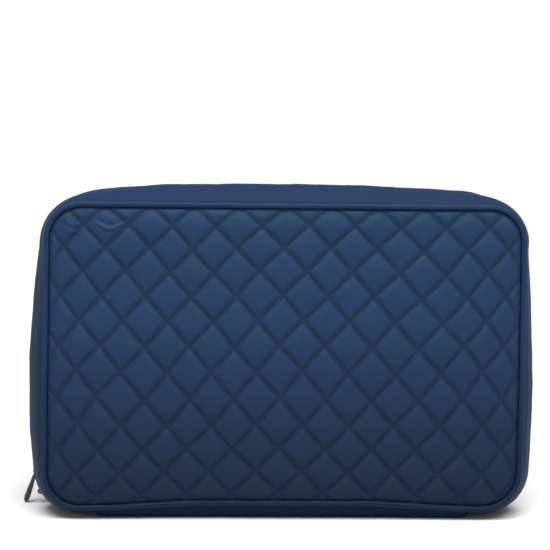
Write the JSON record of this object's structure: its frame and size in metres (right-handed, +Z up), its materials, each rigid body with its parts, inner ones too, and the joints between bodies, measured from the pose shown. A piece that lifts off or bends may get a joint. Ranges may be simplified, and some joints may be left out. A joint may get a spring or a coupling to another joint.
{
  "type": "shoe bag",
  "caption": "Soft quilted nylon shoe bag with padded shells and a piped edge, closed by a two-way zip; the front shell swings open and lies down.",
  "frame": {"origin": "centre of the base panel, on the surface that the bag stands on", "axes": "+X along the bag's long side, to the right seen from the front; +Y from the front panel to the rear panel; +Z up"},
  "size_m": [0.3996, 0.12, 0.2547],
  "materials": {
    "quilted_nylon": "soft satin nylon",
    "gusset_nylon": "soft satin nylon",
    "piping_nylon": "soft satin nylon",
    "base_nylon": "matt nylon",
    "lining_cloth": "plain woven lining",
    "seam_tape": "ribbed tape",
    "foam": "matt foam",
    "cord_core": "twisted cord",
    "zip_tape": "woven tape",
    "zip_coil": "satin",
    "stiffener": "matt",
    "bright_metal": "polished"
  },
  "bodies": {
    "rear_shell": {"rear_quilt_panel": "quilted_nylon", "rear_foam_sheet": "foam", "rear_lining": "lining_cloth", "rear_piping": "piping_nylon", "rear_piping_cord": "cord_core", "rear_gusset": "gusset_nylon", "rear_gusset_lining": "lining_cloth", "rear_seam_binding": "seam_tape", "rear_zip_tape": "zip_tape", "rear_zip_coil": "zip_coil", "zip_tail_tape": "zip_tape", "zip_tail_coil": "zip_coil", "zip_end_patches": "seam_tape", "base_panel": "base_nylon", "base_board": "stiffener", "base_lining": "lining_cloth"},
    "front_cover": {"front_quilt_panel": "quilted_nylon", "front_foam_sheet": "foam", "front_lining": "lining_cloth", "front_piping": "piping_nylon", "front_piping_cord": "cord_core", "front_gusset": "gusset_nylon", "front_gusset_lining": "lining_cloth", "front_seam_binding": "seam_tape", "front_zip_tape": "zip_tape", "front_zip_coil": "zip_coil"},
    "upper_slider": {"upper_slider_body": "bright_metal"},
    "upper_link": {"upper_pull_link": "bright_metal"},
    "upper_tab": {"upper_pull_tab": "bright_metal"},
    "lower_slider": {"lower_slider_body": "bright_metal"},
    "lower_link": {"lower_pull_link": "bright_metal"},
    "lower_tab": {"lower_pull_tab": "bright_metal"}
  },
  "joints": [
    {"name": "cover_swing", "type": "hinge", "parent": "rear_shell", "child": "front_cover", "pos_m": [0, -0.057, 0.0085], "axis": [1, 0, 0], "range_deg": [0, 91]},
    {"name": "upper_slider_travel", "type": "slide", "parent": "rear_shell", "child": "upper_slider", "axis": [0, 0, 1], "range_m": [0, 0.155]},
    {"name": "upper_link_swing", "type": "hinge", "parent": "upper_slider", "child": "upper_link", "pos_m": [-0.1884, 0, 0.0325], "axis": [0, 1, 0], "range_deg": [0, 70]},
    {"name": "upper_tab_swing", "type": "hinge", "parent": "upper_link", "child": "upper_tab", "pos_m": [-0.19488, 0, 0.02555], "axis": [0, 1, 0], "range_deg": [0, 90]},
    {"name": "lower_slider_travel", "type": "hinge", "parent": "rear_shell", "child": "lower_slider", "pos_m": [-0.16, 0, 0.028], "axis": [0, -1, 0], "range_deg": [0, 30]},
    {"name": "lower_link_swing", "type": "hinge", "parent": "lower_slider", "child": "lower_link", "pos_m": [-0.18595, 0, 0.01694], "axis": [0, 1, 0], "range_deg": [0, 25]},
    {"name": "lower_tab_swing", "type": "hinge", "parent": "lower_link", "child": "lower_tab", "pos_m": [-0.1914, 0, 0.00916], "axis": [0, 1, 0], "range_deg": [0, 75]}
  ]
}
